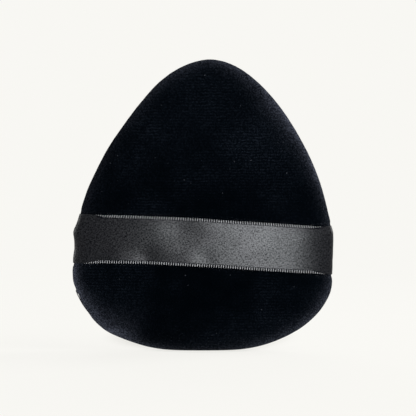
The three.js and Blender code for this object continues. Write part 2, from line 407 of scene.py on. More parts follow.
        rise = self.back_swell - self.swell_start
        normal = np.stack(
            [
                (flat(x + NUDGE, z) - flat(x - NUDGE, z)) / (2 * NUDGE),
                2.0 * (y + self.swell_start) / rise**2,
                (flat(x, z + NUDGE) - flat(x, z - NUDGE)) / (2 * NUDGE),
            ],
            axis=-1,
        )
        return normal / np.linalg.norm(normal, axis=-1, keepdims=True)

    def back_point(self, x: Array, z: Array, lift: Array) -> Array:
        """Points on the back, or above it by a lift square to it, one row each."""
        y = -self.swell(self.share_at(x, z), self.swell_start, self.back_swell)
        return np.stack([x, y, z], axis=-1) + lift[:, None] * self.back_normal(x, y, z)

    def even_angles(self, count: int) -> Array:
        """Finds directions from the middle that cut the outline into even lengths.

        Args:
            count: How many lengths to cut.

        Returns:
            The directions in radians, once round from the lower right.
        """
        angles = np.linspace(-0.25 * math.pi, 1.75 * math.pi, self.outline_steps + 1)
        places = spread_evenly(np.stack(self.outline(angles, 1.0), axis=-1), count + 1)
        return np.interp(places, np.arange(len(angles)), angles)

    def even_shares(self, rim: float, top: float, last: float, count: int) -> Array:
        """Finds shares that cut a side's swelling profile into even lengths.

        Args:
            rim: The profile's height at the rim.
            top: Its height in the middle.
            last: The last share.
            count: How many shares to give.

        Returns:
            The shares, from 0 in the middle to the last.
        """
        turns = np.linspace(0.0, math.asin(last ** (self.flatness / 2)), self.profile_steps + 1)
        shares = np.sin(turns) ** (2.0 / self.flatness)
        profile = np.stack([shares * self.half_width, self.swell(shares, rim, top)], axis=-1)
        return np.interp(spread_evenly(profile, count), np.arange(len(turns)), shares)

    def closing(self, x: Array, z: Array) -> Array:
        """How much of the hand-closed stretch of the seam, at the lower left, is at a spot."""
        below = fading(z, self.closing_top - self.closing_fade / 2, self.closing_fade)
        return below * fading(x, self.closing_side - self.closing_side_fade / 2, self.closing_side_fade)


class Signal:
    """A shader socket that takes part in sums written in Python."""

    def __init__(self, finish: ShaderTree, socket: bpy.types.NodeSocket) -> None:
        """Wraps an output socket of one of the finish's nodes."""
        self.finish = finish
        self.socket = socket

    def join(self, operation: str, other: Signal | float, turned: bool = False) -> Signal:
        """Adds a Math node that joins this value with another.

        Args:
            operation: The Math node's operation.
            other: The other value.
            turned: Whether the other value comes first.

        Returns:
            The node's result.
        """
        pair = (other, self) if turned else (self, other)
        return self.finish.node("ShaderNodeMath", {"operation": operation}, dict(enumerate(pair)))

    def __add__(self, other: Signal | float) -> Signal:
        """Adds."""
        return self.join("ADD", other)

    __radd__ = __add__

    def __sub__(self, other: Signal | float) -> Signal:
        """Subtracts the other value from this one."""
        return self.join("SUBTRACT", other)

    def __rsub__(self, other: float) -> Signal:
        """Subtracts this value from a number."""
        return self.join("SUBTRACT", other, turned=True)

    def __mul__(self, other: Signal | float) -> Signal:
        """Multiplies."""
        return self.join("MULTIPLY", other)

    __rmul__ = __mul__

    def part(self, share: float) -> Signal:
        """Gives the value a share in a product: 1 less the share where it is 0, and 1 where it is 1."""
        return self * share + (1.0 - share)

    def ramp(self, low: float, high: float) -> Signal:
        """Maps the value so that low gives 0 and high gives 1, held between them."""
        return self.finish.node(
            "ShaderNodeMapRange", {"clamp": True}, {0: self, 1: low, 2: high, 3: 0.0, 4: 1.0}
        )


class ShaderTree:
    """A node tree under construction, for a material or the world."""

    def __init__(self, tree: bpy.types.NodeTree) -> None:
        """Empties a node tree so that a finish can be built in it."""
        tree.nodes.clear()
        self.tree = tree

    def node(
        self,
        kind: str,
        settings: Mapping[str, object],
        values: Mapping[int | str, object],
        output: int | str = 0,
    ) -> Signal:
        """Adds a node.

        Args:
            kind: The node's type.
            settings: Its settings, which are set first.
            values: What goes into its sockets, a value or a Signal each.
            output: Which of its sockets to give back.

        Returns:
            The chosen output.
        """
        made = self.tree.nodes.new(kind)
        for name, value in settings.items():
            setattr(made, name, value)
        for key, value in values.items():
            if isinstance(value, Signal):
                self.tree.links.new(value.socket, made.inputs[key])
            else:
                made.inputs[key].default_value = value
        return Signal(self, made.outputs[output] if made.outputs else None)

    def mix(self, share: Signal | float, low: Signal | Colour, high: Signal | Colour) -> Signal:
        """Mixes two colours."""
        shades = [shade if isinstance(shade, Signal) else (*shade, 1.0) for shade in (low, high)]
        return self.node(
            "ShaderNodeMix", {"data_type": "RGBA"}, {0: share, 6: shades[0], 7: shades[1]}, output=2
        )

    def noise(self, place: Signal, scale: float, detail: float, roughness: float = 0.5) -> Signal:
        """Adds a noise of a given number of lumps per unit of the place."""
        return self.node(
            "ShaderNodeTexNoise",
            {"noise_dimensions": "3D"},
            {"Vector": place, "Scale": scale, "Detail": detail, "Roughness": roughness},
        )

    def stretched(self, place: Signal, scale: Triple) -> Signal:
        """Stretches the places that a pattern reads, by a factor on each axis."""
        return self.node("ShaderNodeVectorMath", {"operation": "MULTIPLY"}, {0: place, 1: scale})

    def height(self, place: Signal) -> Signal:
        """The third number of a place."""
        return self.node("ShaderNodeSeparateXYZ", {}, {0: place}, output="Z")

    def distance(self, place: Signal) -> Signal:
        """How far a place lies from the origin."""
        return self.node("ShaderNodeVectorMath", {"operation": "LENGTH"}, {0: place}, output="Value")

    def spots(self, place: Signal, scale: float) -> Signal:
        """How far the nearest of many scattered spots is, with a number of them per unit."""
        return self.node("ShaderNodeTexVoronoi", {"feature": "F1"}, {"Vector": place, "Scale": scale})

    def seen(self) -> Signal:
        """Gives 1 where the camera looks, straight or by a gloss or glass, and 0 for other light."""
        path = self.node("ShaderNodeLightPath", {}, {}, output="Is Camera Ray")
        rays = [path.socket.node.outputs[name] for name in ("Is Glossy Ray", "Is Transmission Ray")]
        return sum((Signal(self, ray) for ray in rays), path).ramp(0.0, 1.0)

    def bump(self, height: Signal, depth: float, before: Signal | None = None) -> Signal:
        """Turns a height from 0 to 1 into a dented normal.

        Args:
            height: The height.
            depth: The depth in metres that a height of 1 stands for.
            before: A normal that is dented already.

        Returns:
            The normal.
        """
        values = {"Height": height, "Distance": depth, "Strength": 1.0}
        if before is not None:
            values["Normal"] = before
        return self.node("ShaderNodeBump", {}, values)


class Cloth(ShaderTree):
    """A material under construction, with the places that its patterns read."""

    def __init__(self, name: str) -> None:
        """Makes an empty material of that name."""
        self.material = bpy.data.materials.new(name)
        self.material.use_nodes = True
        super().__init__(self.material.node_tree)
        self.place = self.node("ShaderNodeTexCoord", {}, {}, output="Object")

    def laid(self) -> Signal:
        """The place on the cloth as it lies flat, in metres along and across it."""
        return self.node("ShaderNodeUVMap", {}, {})

    def mark(self, name: str) -> Signal:
        """A number that the piece's mesh holds at each of its points."""
        return self.node("ShaderNodeAttribute", {"attribute_name": name}, {}, output="Fac")

    def end(self, surface: Signal) -> bpy.types.Material:
        """Ends the material in a surface."""
        self.node("ShaderNodeOutputMaterial", {}, {"Surface": surface})
        return self.material

    def surface(self, **values: object) -> Signal:
        """Adds a Principled shader.

        Args:
            **values: The shader's sockets, with _ for a space in a name.

        Returns:
            The shader's output.
        """
        sockets = {name.replace("_", " "): value for name, value in values.items()}
        return self.node("ShaderNodeBsdfPrincipled", {}, sockets)

    def finish(self, **values: object) -> bpy.types.Material:
        """Ends the material in a Principled shader with these sockets."""
        return self.end(self.surface(**values))


@dataclass(frozen=True)
class VelourFinish:
    """Near-black velour with a short brushed pile in fine rows, with painted light where it faced the
    lamps and a rim paler from the nap bent open and from painted sheen.
    """

    deep: Colour = (0.0003, 0.0008, 0.0014)
    raised: Colour = (0.0080, 0.0104, 0.0152)
    # rim colour: the nap bent open, with painted sheen
    opened_nap_and_sheen: Colour = (0.090, 0.097, 0.128)
    lint: Colour = (0.09, 0.095, 0.11)
    sheen_tint: Colour = (0.72, 0.78, 0.92)
    row_pitch: float = 0.00087
    row_depth: float = 0.00006
    row_wander: float = 0.000957
    wanders_per_metre: float = 300.0
    pile_depth: float = 0.00016
    tufts_per_metre: float = 2100.0
    strokes_per_metre: float = 95.0
    rubs_per_metre: float = 45.0
    lint_per_metre: float = 420.0
    lint_gaps_per_metre: float = 700.0
    tuft_range: Pair = (0.42, 0.62)
    stroke_range: Pair = (0.38, 0.68)
    rub_range: Pair = (0.40, 0.62)
    lint_range: Pair = (0.04, 0.09)
    lint_gap_range: Pair = (0.60, 0.66)
    tuft_share: float = 0.9
    row_share: float = 0.7
    stroke_weight: float = 0.45
    painted_light_weight: float = 0.75
    opened_nap_and_sheen_weights: Triple = (0.85, 0.30, 0.12)
    lint_weight: float = 0.5

    def make(self) -> bpy.types.Material:
        """Makes the material.

        Returns:
            The material. Its pieces hold, at each point, the painted light where the nap faced the
            lamps and how far the rim bends the nap open, with its painted sheen.
        """
        cloth = Cloth("velour")
        wander = cloth.noise(cloth.place, self.wanders_per_metre, detail=3.0) * self.row_wander
        turn = (cloth.height(cloth.place) + wander) * (2 * math.pi / self.row_pitch)
        rows = cloth.node("ShaderNodeMath", {"operation": "SINE"}, {0: turn}) * 0.5 + 0.5
        tufts = cloth.noise(cloth.place, self.tufts_per_metre, detail=2.0, roughness=0.7)
        pile = tufts.ramp(*self.tuft_range)
        strokes = cloth.noise(cloth.place, self.strokes_per_metre, detail=5.0, roughness=0.6)
        brushed = strokes.ramp(*self.stroke_range)
        shown = cloth.noise(cloth.place, self.rubs_per_metre, detail=2.0).ramp(*self.rub_range)
        # the turned mark paints light where the nap faced the lamps, growing towards the rim
        lit = brushed * self.stroke_weight + cloth.mark("turned") * self.painted_light_weight
        lit = pile.part(self.tuft_share) * (rows * shown).part(self.row_share) * lit
        colour = cloth.mix(lit, self.deep, self.raised)
        # paler rim: the nap bent open, with painted sheen
        by_pile, by_stroke, always = self.opened_nap_and_sheen_weights
        opened_nap_and_sheen = cloth.mark("opened_nap_and_sheen") * (pile * by_pile + brushed * by_stroke + always)
        colour = cloth.mix(opened_nap_and_sheen, colour, self.opened_nap_and_sheen)
        specks = 1.0 - cloth.spots(cloth.place, self.lint_per_metre).ramp(*self.lint_range)
        gaps = cloth.noise(cloth.place, self.lint_gaps_per_metre, detail=0.0)
        specks = specks * gaps.ramp(*self.lint_gap_range) * self.lint_weight
        colour = cloth.mix(specks, colour, self.lint)
        normal = cloth.bump(rows * shown, self.row_depth)
        normal = cloth.bump(pile, self.pile_depth, normal)
        return cloth.finish(
            Base_Color=colour,
            Roughness=0.95,
            Specular_IOR_Level=0.0,
            Sheen_Weight=0.04,
            Sheen_Roughness=0.25,
            Sheen_Tint=(*self.sheen_tint, 1.0),
            Normal=normal,
        )


@dataclass(frozen=True)
class SatinFinish:
    """Black satin ribbon: long floats that gloss, between threads that lie too deep to."""

    deep: Colour = (0.0004, 0.0006, 0.0014)
    raised: Colour = (0.0012, 0.0018, 0.0038)
    warp_per_metre: Triple = (1500.0, 3300.0, 1.0)
    weft_per_metre: Triple = (3300.0, 1700.0, 1.0)
    clouds_per_metre: Triple = (190.0, 230.0, 1.0)
    creases_per_metre: Triple = (150.0, 130.0, 1.0)
    crease_depth: float = 0.00003
    weave_range: Pair = (0.38, 0.62)
    cloud_range: Pair = (0.3, 0.7)
    glossy_weights: Triple = (0.76, 0.09, 0.05)
    bound_dulling: float = 0.95
    roughness: Pair = (0.315, 0.05)
    gloss: Pair = (0.02, 0.315)

    def make(self) -> bpy.types.Material:
        """Makes the material.

        Returns:
            The material. It reads a UV map that holds metres along and across the ribbon.
        """
        cloth = Cloth("satin")
        laid = cloth.laid()
        warp, weft, clouds, creases = (
            cloth.noise(cloth.stretched(laid, scale), 1.0, detail=detail)
            for scale, detail in (
                (self.warp_per_metre, 1.0),
                (self.weft_per_metre, 1.0),
                (self.clouds_per_metre, 2.0),
                (self.creases_per_metre, 1.0),
            )
        )
        weave = (warp * 0.5 + weft * 0.5).ramp(*self.weave_range)
        by_weave, by_cloud, always = self.glossy_weights
        glossy = weave * by_weave + clouds.ramp(*self.cloud_range) * by_cloud + always
        glossy = glossy * (1.0 - cloth.mark("selvedge") * self.bound_dulling)
        colour = cloth.mix(weave, self.deep, self.raised)
        normal = cloth.bump(creases, self.crease_depth)
        least, more = self.roughness
        rough = least + more * weave
        deep_threads, floats = (
            cloth.surface(
                Base_Color=colour,
                Roughness=rough,
                Specular_IOR_Level=level,
                Anisotropic=0.15,
                Normal=normal,
            )
            for level in self.gloss
        )
        values = {0: glossy, 1: deep_threads, 2: floats}
        return cloth.end(cloth.node("ShaderNodeMixShader", {}, values))


@dataclass(frozen=True)
class ThreadFinish:
    """Spun thread, with its fibres' slight shade."""

    name: str
    deep: Colour
    raised: Colour
    gloss: float = 0.4
    roughness: Pair = (0.32, 0.20)
    fibres_per_metre: float = 9000.0
    fibre_depth: float = 0.00003

    def make(self) -> bpy.types.Material:
        """Makes the material.

        Returns:
            The material.
        """
        cloth = Cloth(self.name)
        fibres = cloth.noise(cloth.place, self.fibres_per_metre, detail=2.0)
        least, more = self.roughness
        return cloth.finish(
            Base_Color=cloth.mix(fibres, self.deep, self.raised),
            Roughness=least + more * fibres,
            Specular_IOR_Level=self.gloss,
            Normal=cloth.bump(fibres, self.fibre_depth),
        )


@dataclass(frozen=True)
class FoamFinish:
    """Soft open-cell foam, cream in colour."""

    deep: Colour = (0.42, 0.38, 0.29)
    raised: Colour = (0.72, 0.68, 0.58)
    cells_per_metre: float = 1400.0
    cell_range: Pair = (0.05, 0.6)
    cell_depth: float = 0.0002

    def make(self) -> bpy.types.Material:
        """Makes the material.

        Returns:
            The material.
        """
        cloth = Cloth("foam")
        cells = cloth.spots(cloth.place, self.cells_per_metre)
        return cloth.finish(
            Base_Color=cloth.mix(cells.ramp(*self.cell_range), self.deep, self.raised),
            Roughness=0.9,
            Specular_IOR_Level=0.1,
            Normal=cloth.bump(cells, self.cell_depth),
        )


@dataclass(frozen=True)
class FloorFinish:
    """A pale surface that looks like the backdrop but for a share of the puff's shadow.

    In a soft patch from the foot backwards the floor has a painted shadow in its colour, and keeps most
    of its real shadow.
    """

    backdrop: Colour
    shadow_share: float = 0.11
    lit_level: float = 1.04
    shadow_reach: float = 0.35
    contact_share: float = 0.75
    contact_middle: float = 0.049
    contact_half: Pair = (0.030, 0.054)
    painted_contact_shadow: Colour = (0.36, 0.335, 0.305)
    contact_fade_shares: Pair = (0.5, 1.08)

    def make(self) -> bpy.types.Material:
        """Makes the material.

        Returns:
            The material.
        """
        cloth = Cloth("floor")
        away = cloth.distance(cloth.place).ramp(0.0, self.shadow_reach)
        half_x, half_y = self.contact_half
        patch = cloth.node(
            "ShaderNodeVectorMath",
            {"operation": "MULTIPLY_ADD"},
            {0: cloth.place, 1: (1 / half_x, 1 / half_y, 0), 2: (0, -self.contact_middle / half_y, 0)},
        )
        beyond = cloth.distance(patch).ramp(*self.contact_fade_shares)
        kept = (1.0 - away) * self.shadow_share + (1.0 - beyond) * self.contact_share
        # painted shadow: the patch behind the foot is darker in colour
        colour = cloth.mix(beyond, self.painted_contact_shadow, self.backdrop)
        matt = cloth.node("ShaderNodeBsdfDiffuse", {}, {"Color": colour})
        glow = cloth.node(
            "ShaderNodeEmission",
            {},
            {"Color": (*self.backdrop, 1.0), "Strength": 1.0 + kept * (1.0 - self.lit_level)},
        )
        shown = cloth.seen() * (1.0 - kept)
        return cloth.end(cloth.node("ShaderNodeMixShader", {}, {0: shown, 1: matt, 2: glow}))


def added(name: str, data: bpy.types.ID) -> bpy.types.Object:
    """Adds an object to the scene.

    Args:
        name: The object's name.
        data: Its mesh, lamp or camera.

    Returns:
        The object, at the origin.
    """
    made = bpy.data.objects.new(name, data)
    bpy.context.scene.collection.objects.link(made)
    return made


def make_piece(
    name: str, shape: bmesh.types.BMesh, finish: bpy.types.Material | None
) -> bpy.types.Object:
    """Turns a finished shape into a named object with one material.

    Args:
        name: The piece's name.
        shape: Its faces, in place. It is freed.
        finish: Its material, or none for a piece that is only worked on.

    Returns:
        The object, at the origin.
    """
    for one in shape.faces:
        one.smooth = True
    mesh = bpy.data.meshes.new(name)
    shape.to_mesh(mesh)
    shape.free()
    mesh.materials.append(finish)
    return added(name, mesh)


def applied(piece: bpy.types.Object) -> bmesh.types.BMesh:
    """Takes a piece away for its shape.

    Args:
        piece: The piece. It is removed.

    Returns:
        Its shape with its modifiers applied.
    """
    graph = bpy.context.evaluated_depsgraph_get()
    mesh = bpy.data.meshes.new_from_object(piece.evaluated_get(graph))
    shape = bmesh.new()
    shape.from_mesh(mesh)
    bpy.data.objects.remove(piece)
    bpy.data.meshes.remove(mesh)
    return shape


def refined(name: str, shape: bmesh.types.BMesh, times: int) -> bmesh.types.BMesh:
    """Subdivides a shape smoothly.

    Args:
        name: The name of the piece that is worked on.
        shape: The shape. It is freed.
        times: How often each of its faces is cut in four.

    Returns:
        The finer shape.
    """
    rough = make_piece(name, shape, None)
    finer = rough.modifiers.new("finer", "SUBSURF")
    finer.levels = finer.render_levels = times
    finer.boundary_smooth = "PRESERVE_CORNERS"
    return applied(rough)


def places_of(shape: bmesh.types.BMesh) -> Array:
    """The places of a shape's vertices, one row each."""
    return np.array([vertex.co for vertex in shape.verts])


def normals_of(shape: bmesh.types.BMesh) -> Array:
    """The directions in which a shape faces at its vertices, one row each."""
    shape.normal_update()
    return np.array([vertex.normal for vertex in shape.verts])


def place_all(shape: bmesh.types.BMesh, points: Array) -> None:
    """Moves every vertex of a shape to its row of points."""
    for vertex, point in zip(shape.verts, points):
        vertex.co = point


def boundary(shape: bmesh.types.BMesh) -> list[bmesh.types.BMEdge]:
    """The open edges of a shape."""
    return [edge for edge in shape.edges if edge.is_boundary]


def join_rims(shape: bmesh.types.BMesh, other: bmesh.types.BMesh) -> None:
    """Joins another shape to a shape, from open rim to open rim.

    Args:
        shape: The shape. Its faces point out in the end.
        other: The other shape. It is freed.
    """
    carried = bpy.data.meshes.new("carried")
    other.to_mesh(carried)
    other.free()
    shape.from_mesh(carried)
    bpy.data.meshes.remove(carried)
    bmesh.ops.bridge_loops(shape, edges=boundary(shape))
    bmesh.ops.recalc_face_normals(shape, faces=shape.faces[:])


def mark_points(piece: bpy.types.Object, name: str, values: Array) -> None:
    """Stores a number at each point of a piece, for its material to read."""
    mark = piece.data.attributes.new(name, "FLOAT", "POINT")
    mark.data.foreach_set("value", np.asarray(values, dtype=np.float32))


@dataclass(frozen=True)
class Ring:
    """A ring of a laid sheet: its share of the outline, its inset from that, and its height."""

    share: float
    inset: float
    height: float


@dataclass(frozen=True)
class LaidSheet:
    """A sheet laid over one side of the puff in rings, from its middle out and past its rim."""

    form: PuffForm
    face: Face
    rings: Sequence[Ring]

    @staticmethod
    def crown(
        form: PuffForm, steps: int, inset: float, rim: float, top: float, last: float = 1.0
    ) -> list[Ring]:
        """Makes the rings of a swelling crown.

        Args:
            form: The puff's form.
            steps: How many steps the crown has from its middle to its last ring.
            inset: How far inside the outline its rim is.
            rim: Its height at the rim.
            top: Its height in the middle.
            last: The share of its last ring.

        Returns:
            The rings, from the middle out.
        """
        shares = form.even_shares(rim, top, last, steps + 1)
        heights = form.swell(shares, rim, top)
        return [Ring(share, inset, height) for share, height in zip(shares, heights)]

    def places(self, u: Array, v: Array) -> Array:
        """Lays the spots of a square from -1 to 1 on the rings.

        Args:
            u: The spots' places across the square.
            v: Their places up it.

        Returns:
            Their places on the sheet, one row each. The way round the square is 8 long, and
            starts at its lower right corner.
        """
        nearest = np.maximum(np.abs(u), np.abs(v))
        ring = np.rint(nearest * (len(self.rings) - 1)).astype(int)
        held = np.maximum(nearest, TINY)
        side_on = np.abs(u) >= np.abs(v)
        around = np.where(side_on, 1.0 + v / held, 3.0 - u / held)
        around = np.where(side_on & (u < 0), 5.0 - v / held, around)
        around = np.where(~side_on & (v < 0), 7.0 + u / held, around)
        angles = self.form.even_angles(self.form.outline_steps)
        angle = np.interp(around, np.linspace(0.0, 8.0, len(angles)), angles)
        share, inset, height = (
            np.array([getattr(one, part) for one in self.rings])[ring]
            for part in ("share", "inset", "height")
        )
        x, z = self.form.outline(angle, share)
        out_x, out_z = self.form.edge_normal(angle)
        drawn = share * inset
        return np.stack([x - drawn * out_x, self.face.value * height, z - drawn * out_z], axis=-1)

    def make(self) -> bmesh.types.BMesh:
        """Makes the sheet.

        Returns:
            Its shape, with its faces pointing away from the seam's plane.
        """
        steps = 2 * (len(self.rings) - 1)
        shape = bmesh.new()
        bmesh.ops.create_grid(shape, x_segments=steps, y_segments=steps, size=1.0)
        flat = places_of(shape)
        place_all(shape, self.places(flat[:, 0], flat[:, 1]))
        if self.face is Face.FRONT:
            bmesh.ops.reverse_faces(shape, faces=shape.faces[:])
        return shape


@dataclass(frozen=True)
class Inflation:
    """A cloth simulation that lets a cover swell and settle over its filling."""

    scale: float = 10.0
    pressure: float = 4.0
    frames: int = 20
    cap: float = 0.00035

    def swollen(self, shape: bmesh.types.BMesh, held: Array) -> Array:
        """Simulates a sheet as cloth under pressure.

        Args:
            shape: The sheet, in place. It stays as it is.
            held: How firmly each of its points is held, from 0 to 1.

        Returns:
            The sheet's places after it has settled, none moved further than the cap.
        """
        flat = places_of(shape)
        mesh = bpy.data.meshes.new("inflated")
        shape.to_mesh(mesh)
        mesh.vertices.foreach_set("co", (flat * self.scale).ravel())
        sheet = added("inflated", mesh)
        group = sheet.vertex_groups.new(name="held")
        for order, weight in enumerate(held):
            group.add([order], float(weight), "REPLACE")
        cloth = sheet.modifiers.new("cloth", "CLOTH")
        cloth.point_cache.frame_end = self.frames
        cloth.settings.vertex_group_mass = group.name
        cloth.settings.use_pressure = True
        cloth.settings.uniform_pressure_force = self.pressure
        cloth.settings.effector_weights.gravity = 0.0
        for frame in range(1, self.frames + 1):
            bpy.context.scene.frame_set(frame)
        settled = applied(sheet)
        moved = places_of(settled) / self.scale - flat
        settled.free()
        bpy.data.meshes.remove(mesh)
        bpy.context.scene.frame_set(1)
        far = np.maximum(np.linalg.norm(moved, axis=1, keepdims=True), TINY)
        LOG.info("cloth moved %.2f mm at most before its cap", 1000.0 * far.max())
        return flat + moved * self.cap * np.tanh(far / self.cap) / far


@dataclass
class VelourCover:
    """One velour panel: its swollen face, the fold at the rim and the seam allowance.

    A pair is where a fade starts and how far it reaches. The rows of the bearing table are a bearing
    from the middle in degrees, how much painted light the nap gets there, how far the rim bends the nap
    open with painted sheen, and over what depth.
    """

    form: PuffForm
    face: Face
    crown_steps: int = 28
    fold_steps: int = 3
    allowance_steps: int = 2
    lining_steps: int = 20
    finer: int = 2
    pile: float = 0.00042
    pressed_pile: float = 0.00006
    press: float = 0.00010
    bulge: float = 0.00018
    meeting_gap: float = 0.00001
    meshing: float = 0.00018
    foot_round: float = 0.0009
    slack: float = 0.00016
    ruffle: float = 0.00003
    slacks_per_metre: float = 85.0
    ruffles_per_metre: float = 900.0
    seed: float = 3.0
    held_rim_shares: Pair = (0.84, 0.1)
    held_foot: Pair = (0.002, 0.004)
    held_ribbon: Pair = (0.001, 0.003)
    pressed: Pair = (0.0003, 0.0009)
    closing_pressed_share: float = 0.8
    seam_folds: float = 1.5
    pile_start_folds: float = 0.3
    bulge_at: float = 0.0016
    bulge_width: float = 0.0011
    bulge_inset: float = 0.004
    nub: float = 0.0004
    nub_drop: float = 0.0001
    nub_height: float = 0.0006
    nub_from: Pair = (-0.038, 0.002)
    foot_pile_share: float = 0.15
    foot_pile_height: float = 0.007
    foot_fade: float = 0.004
    gap_at_ribbon: Pair = (0.0005, 0.002)
    shut_depth: float = 0.0003
    meshing_depth: float = 0.0006
    meshes_per_metre: float = 400.0
    meshing_seed: float = 5.0
    painted_light_rim_shares: Pair = (0.3, 0.5)
    # painted light and painted rim sheen by bearing, lighter where the lamps fell
    painted_light_by_bearing: Sequence[tuple[float, float, float, float]] = (
        (0.0, 0.30, 0.12, 0.0012),
        (23.0, 0.30, 0.10, 0.0012),
        (28.0, 0.30, 0.25, 0.0011),
        (36.0, 0.30, 0.46, 0.0011),
        (43.0, 0.40, 0.44, 0.0012),
        (50.0, 0.55, 0.40, 0.0014),
        (57.0, 0.75, 0.44, 0.0017),
        (64.0, 0.85, 0.40, 0.0018),
        (70.0, 0.85, 0.42, 0.0018),
        (76.0, 0.70, 0.28, 0.0018),
        (90.0, 0.60, 0.24, 0.0010),
        (100.0, 0.60, 0.22, 0.0010),
        (113.0, 0.50, 0.12, 0.0012),
        (127.0, 0.42, 0.08, 0.0013),
        (142.0, 0.42, 0.10, 0.0013),
        (156.0, 0.42, 0.13, 0.0013),
        (182.0, 0.40, 0.60, 0.0010),
        (189.0, 0.40, 0.85, 0.0009),
        (194.0, 0.50, 0.75, 0.0010),
        (199.0, 0.75, 0.72, 0.0015),
        (204.0, 0.85, 0.70, 0.0018),
        (211.0, 0.85, 0.60, 0.0026),
        (222.0, 0.60, 0.80, 0.0024),
        (234.0, 0.30, 0.60, 0.0008),
        (270.0, 0.40, 0.30, 0.0008),
        (308.0, 0.50, 0.30, 0.0010),
        (318.0, 0.50, 0.30, 0.0013),
        (329.0, 0.35, 0.32, 0.0014),
        (336.0, 0.35, 0.30, 0.0013),
        (342.0, 0.35, 0.30, 0.0015),
        (350.0, 0.30, 0.20, 0.0011),
        (360.0, 0.30, 0.12, 0.0012),
    )

    @property
    def side(self) -> str:
        """The side's name."""
        return self.face.name.lower()

    def outside(self) -> bmesh.types.BMesh:
        """Lays the velour over the face, round the fold and in along the seam allowance.

        Returns:
            The velour's shape without its pile.
        """
        form = self.form
        rings = LaidSheet.crown(form, self.crown_steps, 0.0, form.swell_start, form.top(self.face))
        for step in range(1, self.fold_steps + 1):
            turn = 0.5 * math.pi * step / self.fold_steps
            inset = form.fold_radius * (1.0 - math.cos(turn))
            rings.append(Ring(1.0, inset, form.swell_start - form.fold_radius * math.sin(turn)))
        for step in range(1, self.allowance_steps + 1):
            inset = form.fold_radius + form.seam_allowance * step / self.allowance_steps
            rings.append(Ring(1.0, inset, form.seam_half))
        rough = LaidSheet(form, self.face, rings).make()
        place_all(rough, Inflation().swollen(rough, self.held(places_of(rough))))
        return refined(f"{self.side}_panel", rough, self.finer)

    def held(self, points: Array) -> Array:
        """Finds how firmly points are held: by the seam, by the table and under the ribbon.

        Args:
            points: The cover's points, one row each.

        Returns:
            How firmly each is held, from 0 to 1.
        """
        x, _, z = points.T
        start, reach = self.held_rim_shares
        at_seam = smooth((self.form.share_at(x, z) - start) / reach)
        held = np.maximum(at_seam, fading(z, *self.held_foot))
        if self.face is Face.BACK:
            held = np.maximum(held, fading(self.form.past_ribbon(x, z), *self.held_ribbon))
        return held

    def lining(self) -> bmesh.types.BMesh:
        """Lays the side of the cloth that the foam touches.

        Returns:
            Its shape.
        """
        form = self.form
        top = form.top(self.face) - form.cloth
        rings = LaidSheet.crown(form, self.lining_steps, form.cloth, form.allowance_top, top)
        rings.append(Ring(1.0, form.allowance_inset, form.allowance_top))
        shape = LaidSheet(form, self.face, rings).make()
        bmesh.ops.reverse_faces(shape, faces=shape.faces[:])
        return shape

    def raise_pile(self, shape: bmesh.types.BMesh) -> None:
        """Raises the pile off the cloth, pressed down under the ribbon and ruffled elsewhere.

        Args:
            shape: The velour, without its pile at first.
        """
        form = self.form
        normals, points = normals_of(shape), places_of(shape)
        x, y, z = points.T
        depth = np.abs(y) - form.seam_half
        past = form.past_ribbon(x, z)
        under = fading(past, *self.pressed)
        if self.face is Face.FRONT:
            under = under * fading(depth, 0.0, form.fold_radius)
        closing = fading(depth, 0.0, self.seam_folds * form.fold_radius) * form.closing(x, z)
        flattened = np.maximum(under, self.closing_pressed_share * closing)
        height = self.pile + (self.pressed_pile - self.pile) * flattened
        if self.face is Face.BACK:
            inside = smooth(form.inward(x, z) / self.bulge_inset)
            height = height - self.press * under
            height = height + inside * self.bulge * bell(past - self.bulge_at, self.bulge_width)
        free = 1.0 - under
        height = height + free * self.slack * lumps(points, self.slacks_per_metre, self.seed)
        height = height + free * self.ruffle * lumps(points, self.ruffles_per_metre, self.seed)
        nub = bell(z - form.closing_top + self.nub_drop, self.nub_height)
        nub = nub * np.clip(-normals[:, 0], 0.0, 1.0) * fading(x, *self.nub_from)
        risen = smooth(z / self.foot_pile_height)
        height = (height + self.nub * nub) * (self.foot_pile_share * (1.0 - risen) + risen)
        outside = smooth(depth / (self.pile_start_folds * form.fold_radius))
        points = points + normals * (outside * height)[:, None]
        points[:, 1] = self.met(points, y)
        points[:, 2] = self.rested(points[:, 2])
        place_all(shape, points)

    def met(self, points: Array, y: Array) -> Array:
        """Brings the two covers' piles together in the seam, but for the ribbon and the closing.

        Args:
            points: The cover's points with their pile, one row each.
            y: Where the bare cloth lies off the seam's plane.

        Returns:
            Where the points lie off it. The piles mesh, so that no light passes between them.
        """
        form, side = self.form, self.face.value
        x, z = points[:, 0], points[:, 2]
        apart = fading(form.past_ribbon(x, z), *self.gap_at_ribbon)
        together = 1.0 - np.maximum(apart, form.closing(x, z))
        depth = np.abs(y) - form.seam_half
        shut = fading(depth, 0.0, self.shut_depth) * together * (form.seam_half - self.meeting_gap)
        level = np.stack([x, 0.0 * x, z], axis=-1)
        mesh = self.meshing * lumps(level, self.meshes_per_metre, self.meshing_seed)
        mesh = mesh * fading(depth, 0.0, self.meshing_depth) * together
        off_seam = side * (points[:, 1] - mesh) - shut
        return mesh + side * np.maximum(off_seam, self.meeting_gap)

    def rested(self, z: Array) -> Array:
        """Rounds heights off where the soft foot comes to rest on the table.

        Args:
            z: The heights of the cover's points.

        Returns:
            Their heights at rest.
        """
        sunk = (math.hypot(self.form.foot_cut, self.foot_round) - self.form.foot_cut) / 2
        rounded = (z + np.hypot(z, self.foot_round)) / 2
        return np.maximum(rounded - sunk * fading(z, 0.0, self.foot_fade), 0.0)

